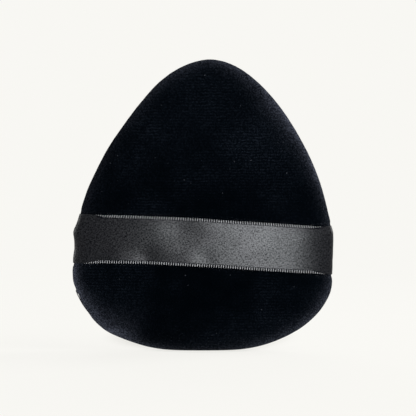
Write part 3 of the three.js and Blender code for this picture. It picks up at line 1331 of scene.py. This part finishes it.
    def nap(self, points: Array) -> tuple[Array, Array]:
        """Finds the painted light on the nap: lighter where the lamps fell on it, listed by bearing.

        Args:
            points: The cover's points, one row each.

        Returns:
            The painted light where the nap faces the lamps, and how far the rim bends the nap open,
            which also paints sheen there.
        """
        x, z = points[:, 0], points[:, 2]
        share = self.form.share_at(x, z)
        bearing = np.degrees(np.arctan2(z - self.form.widest, x)) % 360.0
        bearings, *columns = np.array(self.painted_light_by_bearing).T
        turned, opened_nap_and_sheen, depth = (np.interp(bearing, bearings, column) for column in columns)
        inward = np.maximum(self.form.inward(x, z), 0.0)
        start, reach = self.painted_light_rim_shares
        return turned * smooth((share - start) / reach), opened_nap_and_sheen * np.exp(-inward / depth)

    def build(self, finish: bpy.types.Material) -> bpy.types.Object:
        """Builds the cover and puts it on its body in place of its solid.

        Args:
            finish: Its material.

        Returns:
            The cover.
        """
        shape = self.outside()
        self.raise_pile(shape)
        join_rims(shape, self.lining())
        points = places_of(shape)
        cover = make_piece(f"{self.side}_velour", shape, finish)
        # painted light and the rim's painted sheen, for the velour material to read
        turned, opened_nap_and_sheen = self.nap(points)
        mark_points(cover, "turned", turned)
        mark_points(cover, "opened_nap_and_sheen", opened_nap_and_sheen)
        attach(cover, "puff")
        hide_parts(f"{self.side}_cover")
        return cover


@dataclass
class FoamCore:
    """The foam that fills the covers, with a slot round its edge for the seam allowances."""

    form: PuffForm
    inset: float = 0.0015
    slot_half: float = 0.0025
    slot_clearance: float = 0.0003
    steps: int = 24
    finer: int = 1
    cells: float = 0.00012
    cells_per_metre: float = 800.0
    seed: float = 11.0

    def lobe(self, face: Face) -> bmesh.types.BMesh:
        """Lays one face of the foam, and the side of the slot under it.

        Args:
            face: The side of the puff on which it lies.

        Returns:
            Its shape.
        """
        form = self.form
        rim, top = form.allowance_top, form.top(face) - self.inset
        last = (1.0 - ((self.slot_half - rim) / (top - rim)) ** 2) ** (1.0 / form.flatness)
        rings = LaidSheet.crown(form, self.steps, self.inset, rim, top, last)
        rings.append(Ring(1.0, form.allowance_inset + self.slot_clearance, self.slot_half))
        return LaidSheet(form, face, rings).make()

    def build(self, finish: bpy.types.Material) -> bpy.types.Object:
        """Builds the foam and puts it on its body in place of its solid.

        Args:
            finish: Its material.

        Returns:
            The foam.
        """
        shape = self.lobe(Face.BACK)
        join_rims(shape, self.lobe(Face.FRONT))
        shape = refined("foam_block", shape, self.finer)
        normals, points = normals_of(shape), places_of(shape)
        pits = np.minimum(lumps(points, self.cells_per_metre, self.seed), 0.0)
        place_all(shape, points + normals * (self.cells * pits)[:, None])
        foam = make_piece("foam_pad", shape, finish)
        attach(foam, "puff")
        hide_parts("foam_core")
        return foam


@dataclass
class Ribbon:
    """The satin ribbon, sewn in at both sides and snug over the puff's back.

    The rows of dents are a place across, a height above the ribbon's middle line, a lift, and how
    far the dent reaches across and up. Those of bound_to are for the left and the right end.
    """

    form: PuffForm
    cut_width: float = 0.015
    thickness: float = 0.00022
    lift: float = 0.000475
    tuck: float = 0.0042
    bend: float = 0.0004
    tuck_steps: int = 8
    bend_steps: int = 4
    side_steps: int = 3
    crown_steps: int = 90
    strips: int = 26
    wave: float = 0.00005
    waves_per_metre: float = 110.0
    pucker: float = 0.0006
    pucker_height: float = 0.0356
    pucker_width: float = 0.0019
    held_to: float = 0.0345
    free_from: float = 0.008
    selvedge: float = 0.0006
    selvedge_fade: float = 0.00012
    sharpest: float = math.radians(50.0)
    seed: float = 7.0
    bound_to: Pair = (0.0325, 0.0370)
    bound_fade: float = 0.003
    free_share: float = 0.1
    lean: float = 0.026
    dents: Sequence[tuple[float, float, float, float, float]] = (
        (-0.0258, -0.0062, 0.00022, 0.0036, 0.0038),
        (-0.0164, -0.0062, -0.00042, 0.0034, 0.0038),
        (-0.0118, -0.0060, -0.00011, 0.0034, 0.0034),
        (-0.0040, -0.0054, 0.00006, 0.0024, 0.0026),
        (0.0014, -0.0054, -0.00010, 0.0024, 0.0026),
        (-0.0066, 0.0036, -0.00024, 0.0058, 0.0046),
        (-0.0165, 0.0035, 0.00007, 0.0065, 0.0040),
        (0.0315, 0.0040, 0.00004, 0.0035, 0.0035),
    )

    def rim_lift(self, end: End, z: Array) -> Array:
        """How far off the rim the ribbon turns over it: more where its corner puckers."""
        pucker = self.pucker * bell(z - self.pucker_height, self.pucker_width)
        return self.lift + (pucker if end is End.LEFT else 0.0 * z)

    def waved(self, x: Array, z: Array, across: Array) -> Array:
        """How far the slack cloth stands off or sinks in at spots over the back.

        Args:
            x: The spots' places across the puff.
            z: Their heights.
            across: How far above the ribbon's middle line each lies.

        Returns:
            The lifts: the lower edge stands off further, and slack cloth has broad dents.
        """
        spots = np.stack([x, 0.0 * x, z], axis=-1)
        lift = self.wave * lumps(spots, self.waves_per_metre, self.seed) - self.lean * across
        for middle, height, depth, reach, rise in self.dents:
            lift = lift + depth * bell(x - middle, reach) * bell(across - height, rise)
        return lift

    def half_lines(self, end: End, across: Array) -> Array:
        """The ribbon's lines from its tucked end to its middle.

        Args:
            end: The end of the ribbon.
            across: The lines' places across the ribbon.

        Returns:
            The points, by station and by line.
        """
        reach = self.form.ribbon_reach(end, across)
        rim_x, rim_z = self.form.ribbon_spot(end.value * reach, across)
        rim_lift = self.rim_lift(end, rim_z)
        rim = self.form.back_point(rim_x, rim_z, rim_lift)
        cloth_rim = np.stack([rim_x, 0.0 * rim_x, rim_z], axis=-1)
        outward = (rim - cloth_rim) * [1.0, 0.0, 1.0]
        outward /= np.linalg.norm(outward, axis=-1, keepdims=True)
        stations = []
        for inward in np.linspace(self.tuck, 0.0, self.tuck_steps):
            x, z = self.form.ribbon_spot(end.value * (reach - inward), across)
            out = (rim_lift - self.bend) * (1.0 - inward / self.tuck)
            stations.append(np.stack([x, 0.0 * x, z], axis=-1) + outward * out[:, None])
        for turn in np.linspace(0.0, math.pi / 2, self.bend_steps + 1)[1:]:
            out = rim_lift - self.bend * (1.0 - math.sin(turn))
            corner = cloth_rim + outward * out[:, None]
            corner[:, 1] = -self.bend * (1.0 - math.cos(turn))
            stations.append(corner)
        for part in range(1, self.side_steps):
            side = rim.copy()
            side[:, 1] = -self.bend + (rim[:, 1] + self.bend) * part / self.side_steps
            stations.append(side)
        for turn in np.linspace(math.pi / 2, 0.0, self.crown_steps):
            share = math.sin(turn) ** (2.0 / self.form.flatness)
            x, z = self.form.ribbon_spot(end.value * share * reach, across)
            free = smooth((1.0 - share) / self.free_share)
            lift = rim_lift + free * (self.lift + self.waved(x, z, across) - rim_lift)
            stations.append(self.form.back_point(x, z, lift))
        return np.array(stations)

    def lines(self, across: Array) -> Array:
        """The ribbon's lines from its left end to its right end.

        Args:
            across: The lines' places across the ribbon.

        Returns:
            The points, by station and by line.
        """
        left = self.half_lines(End.LEFT, across)
        right = self.half_lines(End.RIGHT, across)
        return np.concatenate([left, right[-2::-1]])

    def cloth(self) -> bmesh.types.BMesh:
        """Makes the whole ribbon, with its thickness and a UV map in metres.

        Returns:
            Its shape, whose two outer strips on each side are marked as selvedge.
        """
        edge = self.form.ribbon_width / 2
        bound_from = edge - self.selvedge
        inner = np.linspace(-1.0, 1.0, self.strips - 3) * (bound_from - self.selvedge_fade)
        across = np.concatenate([[-edge, -bound_from], inner, [bound_from, edge]])
        lines = self.lines(across)
        along = walked(lines[:, self.strips // 2])
        shape = bmesh.new()
        bmesh.ops.create_grid(shape, x_segments=len(lines) - 1, y_segments=self.strips, size=1.0)
        layer = shape.loops.layers.uv.new("laid")
        bound = shape.verts.layers.float.new("selvedge")
        spots = {}
        for vertex in shape.verts:
            station = round((vertex.co.x + 1.0) / 2.0 * (len(lines) - 1))
            strip = round((vertex.co.y + 1.0) / 2.0 * self.strips)
            spots[vertex] = (along[station], across[strip])
            vertex.co = lines[station, strip]
            last = self.bound_to[vertex.co.x > 0.0]
            shown = float(smooth((last - abs(vertex.co.x)) / self.bound_fade))
            vertex[bound] = shown * float(min(strip, self.strips - strip) < 2)
        for one in shape.faces:
            for corner in one.loops:
                corner[layer].uv = spots[corner.vert]
        sheet = make_piece("ribbon_cloth", shape, None)
        wall = sheet.modifiers.new("wall", "SOLIDIFY")
        wall.thickness, wall.offset = self.thickness, 0.0
        return applied(sheet)

    def half(self, end: End, finish: bpy.types.Material) -> bpy.types.Object:
        """Builds the half of the ribbon on one side of the middle.

        Args:
            end: The end of the ribbon that the half has.
            finish: Its material.

        Returns:
            The half.
        """
        shape = self.cloth()
        cut = bmesh.ops.bisect_plane(
            shape,
            geom=[*shape.verts, *shape.edges, *shape.faces],
            plane_co=(0.0, 0.0, 0.0),
            plane_no=(-float(end.value), 0.0, 0.0),
            clear_outer=True,
        )
        ends = [item for item in cut["geom_cut"] if isinstance(item, bmesh.types.BMEdge)]
        bmesh.ops.holes_fill(shape, edges=ends)
        bmesh.ops.recalc_face_normals(shape, faces=shape.faces[:])
        for edge in shape.edges:
            edge.smooth = edge.calc_face_angle(0.0) < self.sharpest
        return make_piece(f"ribbon_{end.name.lower()}", shape, finish)

    def build(self, finish: bpy.types.Material) -> list[bpy.types.Object]:
        """Builds the ribbon in two halves, one on each side of its middle.

        Args:
            finish: Its material.

        Returns:
            The halves.
        """
        halves = []
        for end in End:
            half = self.half(end, finish)
            self.bend_with(half, end)
            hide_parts("ribbon_strap", f"ribbon_end_{end.name.lower()}")
            self.half_length(end)
            halves.append(half)
        return halves

    def half_length(self, end: End) -> float:
        """The cut length of half the ribbon, from its tucked end to the middle."""
        return float(walked(self.half_lines(end, np.zeros(1))[:, 0])[-1])

    def bend_with(self, piece: bpy.types.Object, end: End) -> None:
        """Bakes a piece's place into its mesh; the ribbon's held and free spots at its end are found
        but not used.

        Args:
            piece: The piece.
            end: The end of the ribbon at which it lies.
        """
        start, stop = (
            self.form.ribbon_spot(np.array(end.value * along), np.array(0.0))
            for along in (self.held_to, self.free_from)
        )
        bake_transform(piece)


@dataclass
class Selvedge:
    """The small thread loops along the ribbon's two edges.

    last_left and last_right are where the loops of the lower and the upper edge end.
    """

    ribbon: Ribbon
    pitch: float = 0.00071
    root: float = 0.00052
    reach: float = 0.00012
    radius: float = 0.00009
    flatness: float = 1.25
    sides: int = 5
    turn_steps: int = 4
    last_station: int = 14
    sunk_share: float = 0.6
    sway: float = math.radians(20.0)
    sway_steps: Sequence[float] = (1.7, 5.0, 9.0)
    last_left: Pair = (0.0364, 0.0330)
    last_right: Pair = (0.0378, 0.0370)
    sinking: float = 0.0062
    least_share: float = 0.1

    def loop(self) -> bpy.types.Mesh:
        """Makes one loop at the origin: from the cloth out past its edge, round and back under.

        Returns:
            The loop's mesh.
        """
        level = self.ribbon.thickness / 2 + self.sunk_share * self.radius
        start = Matrix.Translation((-self.root, 0.0, level)) @ Matrix.Rotation(math.pi / 2, 4, "Y")
        shape = bmesh.new()
        bmesh.ops.create_circle(shape, segments=self.sides, radius=self.radius, matrix=start)
        rim = self.carry_on(shape, shape.edges[:], self.root + self.reach)
        turned = bmesh.ops.spin(
            shape,
            geom=rim,
            cent=(self.reach, 0.0, 0.0),
            axis=(0.0, 1.0, 0.0),
            angle=math.pi,
            steps=self.turn_steps,
        )
        rim = [item for item in turned["geom_last"] if isinstance(item, bmesh.types.BMEdge)]
        self.carry_on(shape, rim, -self.reach - self.root)
        bmesh.ops.holes_fill(shape, edges=boundary(shape))
        bmesh.ops.scale(shape, vec=(1.0, self.flatness, 1.0), verts=shape.verts)
        bmesh.ops.recalc_face_normals(shape, faces=shape.faces[:])
        mesh = bpy.data.meshes.new("selvedge_loop")
        shape.to_mesh(mesh)
        shape.free()
        return mesh

    def carry_on(
        self, shape: bmesh.types.BMesh, rim: list[bmesh.types.BMEdge], step: float
    ) -> list[bmesh.types.BMEdge]:
        """Carries the thread's open rim on by a step across the ribbon.

        Args:
            shape: The loop so far.
            rim: The edges round its open end.
            step: How far to go.

        Returns:
            The edges round the new end.
        """
        made = bmesh.ops.extrude_edge_only(shape, edges=rim)["geom"]
        ends = [item for item in made if isinstance(item, bmesh.types.BMVert)]
        bmesh.ops.translate(shape, vec=(step, 0.0, 0.0), verts=ends)
        return [item for item in made if isinstance(item, bmesh.types.BMEdge) and item.is_boundary]

    def seats(self, end: End, edge: float) -> list[Matrix]:
        """Places and turns for the loops on one edge of one half of the ribbon.

        Args:
            end: The half of the ribbon.
            edge: -1 for the lower edge, 1 for the upper.

        Returns:
            A placing matrix for each loop, from the rim to the middle.
        """
        outer = edge * self.ribbon.form.ribbon_width / 2
        inner = outer - edge * self.root
        lines = self.ribbon.half_lines(end, np.array([outer, inner]))[self.last_station :]
        along = walked(lines[:, 0])
        stops = np.arange(along[-1] - 0.5 * self.pitch, 0.0, -self.pitch)
        on_edge, inside, ahead = (
            np.stack([np.interp(at, along, line[:, axis]) for axis in range(3)], axis=-1)
            for at, line in (
                (stops, lines[:, 0]),
                (stops, lines[:, 1]),
                (stops + self.pitch / 2, lines[:, 0]),
            )
        )
        seats = []
        for order, (point, inner_point, next_point) in enumerate(zip(on_edge, inside, ahead)):
            out = Vector(point - inner_point).normalized()
            line = Vector(next_point - point).normalized()
            normal = out.cross(line).normalized()
            if normal.dot(Vector((point[0], -self.ribbon.form.back_swell, 0.0))) < 0.0:
                normal.negate()
            line = normal.cross(out)
            last = (self.last_left if end is End.LEFT else self.last_right)[edge > 0.0]
            shown = float(smooth((last - abs(point[0])) / self.sinking))
            if shown < self.least_share:
                continue
            spot = [step * at for step, at in zip(self.sway_steps, (order, edge, end.value))]
            sway = self.sway * noise.noise(Vector(spot))
            seat = Matrix((out, line, normal)).transposed().to_4x4()
            seat.translation = Vector(point)
            shorter = Matrix.Diagonal((shown, 1.0, 1.0, 1.0))
            seats.append(seat @ Matrix.Rotation(sway, 4, "Z") @ shorter)
        return seats

    def build(self, finish: bpy.types.Material) -> list[bpy.types.Object]:
        """Builds the loops of each half of the ribbon as one piece.

        Args:
            finish: Their material.

        Returns:
            The two pieces.
        """
        loop = self.loop()
        pieces = []
        for end in End:
            shape = bmesh.new()
            for seat in [*self.seats(end, 1.0), *self.seats(end, -1.0)]:
                first = len(shape.verts)
                shape.from_mesh(loop)
                shape.verts.ensure_lookup_table()
                bmesh.ops.transform(shape, matrix=seat, verts=shape.verts[first:])
            piece = make_piece(f"selvedge_{end.name.lower()}", shape, finish)
            self.ribbon.bend_with(piece, end)
            pieces.append(piece)
        bpy.data.meshes.remove(loop)
        return pieces


def towards(azimuth: float, elevation: float) -> Vector:
    """Finds a direction out from the puff.

    Args:
        azimuth: Its turn from the photograph's camera towards the right, in degrees.
        elevation: Its height in degrees.

    Returns:
        The direction, in a length of 1.
    """
    turn, rise = math.radians(azimuth), math.radians(elevation)
    level = math.cos(rise)
    return Vector((math.sin(turn) * level, -math.cos(turn) * level, math.sin(rise)))


def aimed(name: str, data: bpy.types.ID, aim: Vector, back: Vector) -> bpy.types.Object:
    """Adds a camera or a lamp that looks at a place.

    Args:
        name: Its name.
        data: Its camera or lamp data.
        aim: The place.
        back: The way from there to it.

    Returns:
        The object.
    """
    made = added(name, data)
    made.location = aim + back
    made.rotation_mode = "QUATERNION"
    made.rotation_quaternion = (-back).to_track_quat("-Z", "Y")
    return made


@dataclass(frozen=True)
class Lamp:
    """A soft lamp. Its level is how bright a white surface that faces it renders."""

    name: str
    azimuth: float
    elevation: float
    level: float
    sides: Pair
    distance: float = 1.2
    tint: Colour = (1.0, 1.0, 1.0)

    def hang(self, aim: Vector) -> None:
        """Hangs the lamp so that it faces a place.

        Args:
            aim: The place.
        """
        data = bpy.data.lights.new(self.name, "AREA")
        data.shape = "RECTANGLE"
        data.size, data.size_y = self.sides
        data.color = self.tint
        data.energy = math.pi**2 * self.distance**2 * self.level
        aimed(self.name, data, aim, towards(self.azimuth, self.elevation) * self.distance)


@dataclass
class Studio:
    """The pale floor and surround, the soft lamps and the camera."""

    backdrop: Colour = (0.939, 0.931, 0.896)
    ambient: float = 0.15
    pixels_per_metre: float = 3333.3
    ground_row: float = 350.5
    middle_column: float = 202.3
    distance: float = 0.9
    elevation: float = 2.5
    sensor: float = 36.0
    clip: Pair = (0.01, 50.0)
    floor_half: float = 20.0
    lamp_aim: float = 0.04
    lamps: Sequence[Lamp] = (
        Lamp("front", 11.1, 2.6, 1.01, (0.33, 0.20), 1.3, (0.93, 0.965, 1.0)),
        Lamp("key", 62.0, 38.0, 0.6, (0.9, 0.9)),
        Lamp("rim", 118.0, 25.0, 0.8, (0.5, 0.8)),
        Lamp("glint", -105.0, 10.0, 0.2, (0.3, 0.5)),
        Lamp("back", 180.0, 20.0, 0.8, (0.8, 0.8)),
    )

    def camera(self) -> None:
        """Sets the camera where the photograph was taken from."""
        half = IMAGE_SIDE / 2
        across = (half - self.middle_column) / self.pixels_per_metre
        aim = Vector((across, 0.0, (self.ground_row - half) / self.pixels_per_metre))
        data = bpy.data.cameras.new("camera")
        data.sensor_width = self.sensor
        data.lens = self.sensor * self.distance * self.pixels_per_metre / IMAGE_SIDE
        data.clip_start, data.clip_end = self.clip
        back = towards(0.0, self.elevation) * self.distance
        bpy.context.scene.camera = aimed("camera", data, aim, back)

    def surround(self) -> None:
        """Makes the world: pale where it is seen or mirrored, and a soft grey light."""
        world = bpy.data.worlds.new("studio")
        world.use_nodes = True
        tree = ShaderTree(world.node_tree)
        grey = (self.ambient, self.ambient, self.ambient)
        colour = tree.mix(tree.seen(), grey, self.backdrop)
        light = tree.node("ShaderNodeBackground", {}, {"Color": colour, "Strength": 1.0})
        tree.node("ShaderNodeOutputWorld", {}, {"Surface": light})
        bpy.context.scene.world = world

    def floor(self) -> None:
        """Lays the pale floor, which keeps a share of the puff's shadow."""
        shape = bmesh.new()
        bmesh.ops.create_grid(shape, x_segments=1, y_segments=1, size=self.floor_half)
        make_piece("floor", shape, FloorFinish(self.backdrop).make())

    def build(self) -> None:
        """Sets up the whole studio."""
        self.camera()
        self.surround()
        self.floor()
        for lamp in self.lamps:
            lamp.hang(Vector((0.0, 0.0, self.lamp_aim)))
        bpy.context.scene.view_settings.view_transform = "Standard"


def main() -> None:
    """Builds the studio and every piece of the puff."""
    logging.basicConfig(level=logging.INFO, format="%(name)s: %(message)s")
    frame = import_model()
    Studio().build()
    form = PuffForm()
    snug = replace(form, pull_margin=0.0, pull_fade=0.0022)
    velour, satin, foam = VelourFinish().make(), SatinFinish().make(), FoamFinish().make()
    sewing = ThreadFinish("sewing_thread", (0.006, 0.006, 0.008), (0.018, 0.018, 0.022)).make()
    edging = ThreadFinish("edging_thread", (0.15, 0.15, 0.155), (0.40, 0.40, 0.41), 0.5).make()
    ribbon = Ribbon(form)
    pieces = [VelourCover(snug, face).build(velour) for face in Face]
    pieces.append(FoamCore(form).build(foam))
    pieces += ribbon.build(satin)
    pieces += Selvedge(ribbon).build(edging)
    for piece in pieces:
        LOG.info("%s: %d faces", piece.name, len(piece.data.polygons))
    for name, solid in frame["nodes"].items():
        if "thread" in name:
            solid.data.materials.clear()
            solid.data.materials.append(sewing)


if __name__ == "__main__":
    main()
